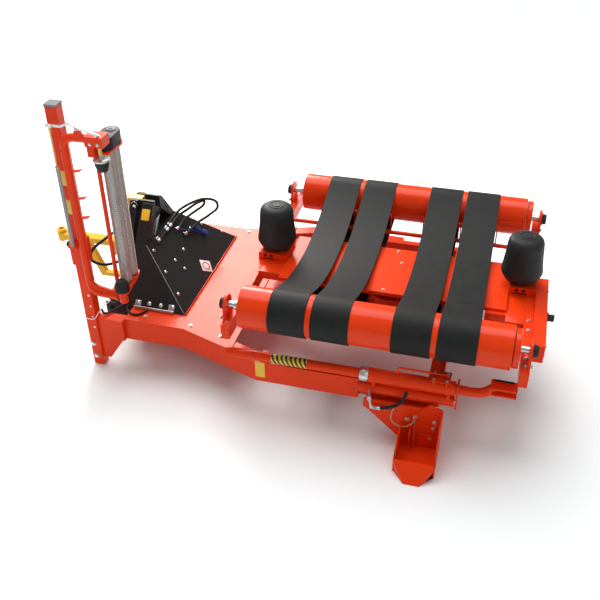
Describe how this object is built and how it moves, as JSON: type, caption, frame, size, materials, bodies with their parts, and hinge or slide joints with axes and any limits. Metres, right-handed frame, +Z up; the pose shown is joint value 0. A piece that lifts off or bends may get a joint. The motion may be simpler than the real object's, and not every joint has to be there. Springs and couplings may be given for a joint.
{
  "type": "round bale wrapper",
  "caption": "Mounted wrapper that turns a round bale on belts and a turntable while a mast feeds stretch film, with a film cut-and-hold arm",
  "frame": {"origin": "on the ground, on the machine's centre line, in the middle of its length", "axes": "+X away from the tractor, +Y to the far side from the film mast, +Z up"},
  "size_m": [3.301, 2.36, 1.757],
  "materials": {
    "orange": "gloss",
    "black_paint": "satin",
    "black_plastic": "matte",
    "grey_plastic": "matte",
    "rubber": "matte",
    "yellow": "gloss",
    "zinc": "satin",
    "chrome": "polished",
    "aluminium": "satin"
  },
  "bodies": {
    "chassis": {"near_beam": "orange", "far_beam": "orange", "deck_plate": "orange", "front_cross_tube": "orange", "rear_cross_tube": "orange", "centre_beam": "orange", "film_mast": "orange", "mast_cap": "grey_plastic", "mast_bracket": "orange", "front_far_leg": "orange", "headstock_frame": "black_paint", "top_link_pin": "zinc", "headstock_cover": "black_paint", "drawbar": "yellow", "drawbar_upright": "yellow", "near_foot": "orange", "far_foot": "orange", "cutter_sleeve": "orange", "cutter_cylinder": "orange", "supply_hose_1": "rubber", "supply_hose_2": "rubber", "hitch_hose": "rubber"},
    "cutter": {"cutter_arm": "orange", "cutter_ram": "chrome", "cutter_head": "orange"},
    "dispenser": {"dispenser_sleeve": "orange", "dispenser_frame": "orange", "film_head": "orange", "film_gearbox": "black_plastic", "spindle_lever": "zinc", "gas_spring": "zinc"},
    "turntable": {"left_table_arm": "orange", "right_table_arm": "orange", "table_beam": "orange", "turntable_hub": "orange", "table_cover": "orange", "left_cone_bracket": "orange", "right_cone_bracket": "orange", "belt_1": "rubber", "belt_2": "rubber", "belt_3": "rubber", "belt_4": "rubber", "belt_guide_bar": "orange", "chain_case": "orange", "roller_motor": "black_plastic"},
    "upper_film_cone": {"upper_film_cone": "black_plastic"},
    "lower_film_cone": {"lower_film_cone": "black_plastic"},
    "stretch_roller_1": {"stretch_roller_1": "aluminium"},
    "stretch_roller_2": {"stretch_roller_2": "aluminium"},
    "left_support_cone": {"left_support_cone": "black_plastic"},
    "right_support_cone": {"right_support_cone": "black_plastic"},
    "near_roller": {"near_roller": "orange"},
    "far_roller": {"far_roller": "orange"}
  },
  "joints": [
    {"name": "turntable_spin", "type": "hinge", "parent": "chassis", "child": "turntable", "pos_m": [0.693, 0, 0.44], "axis": [0, 0, 1], "continuous": true},
    {"name": "near_roller_spin", "type": "hinge", "parent": "turntable", "child": "near_roller", "pos_m": [0.693, -0.712, 0.677], "axis": [1, 0, 0], "continuous": true},
    {"name": "far_roller_spin", "type": "hinge", "parent": "turntable", "child": "far_roller", "pos_m": [0.693, 0.712, 0.677], "axis": [1, 0, 0], "continuous": true},
    {"name": "left_cone_spin", "type": "hinge", "parent": "turntable", "child": "left_support_cone", "pos_m": [-0.0615, 0, 0.66], "axis": [0, 0, 1], "continuous": true},
    {"name": "right_cone_spin", "type": "hinge", "parent": "turntable", "child": "right_support_cone", "pos_m": [1.4475, 0, 0.66], "axis": [0, 0, 1], "continuous": true},
    {"name": "dispenser_height", "type": "slide", "parent": "chassis", "child": "dispenser", "axis": [0, 0, 1], "range_m": [-0.1, 0.05]},
    {"name": "upper_film_cone_spin", "type": "hinge", "parent": "dispenser", "child": "upper_film_cone", "pos_m": [-0.803, -0.707, 1.5], "axis": [0, 0, 1], "continuous": true},
    {"name": "lower_film_cone_spin", "type": "hinge", "parent": "dispenser", "child": "lower_film_cone", "pos_m": [-0.803, -0.707, 0.64], "axis": [0, 0, 1], "continuous": true},
    {"name": "stretch_roller_1_spin", "type": "hinge", "parent": "dispenser", "child": "stretch_roller_1", "pos_m": [-0.851, -0.557, 0.619], "axis": [0, 0, 1], "continuous": true},
    {"name": "stretch_roller_2_spin", "type": "hinge", "parent": "dispenser", "child": "stretch_roller_2", "pos_m": [-0.852, -0.472, 0.619], "axis": [0, 0, 1], "continuous": true},
    {"name": "cutter_slide", "type": "slide", "parent": "chassis", "child": "cutter", "axis": [1, 0, 0], "range_m": [0, 0.35]}
  ],
  "couplings": [
    {"joint": "far_roller_spin", "follows": "near_roller_spin", "ratio": 1},
    {"joint": "stretch_roller_2_spin", "follows": "stretch_roller_1_spin", "ratio": -1.7}
  ]
}
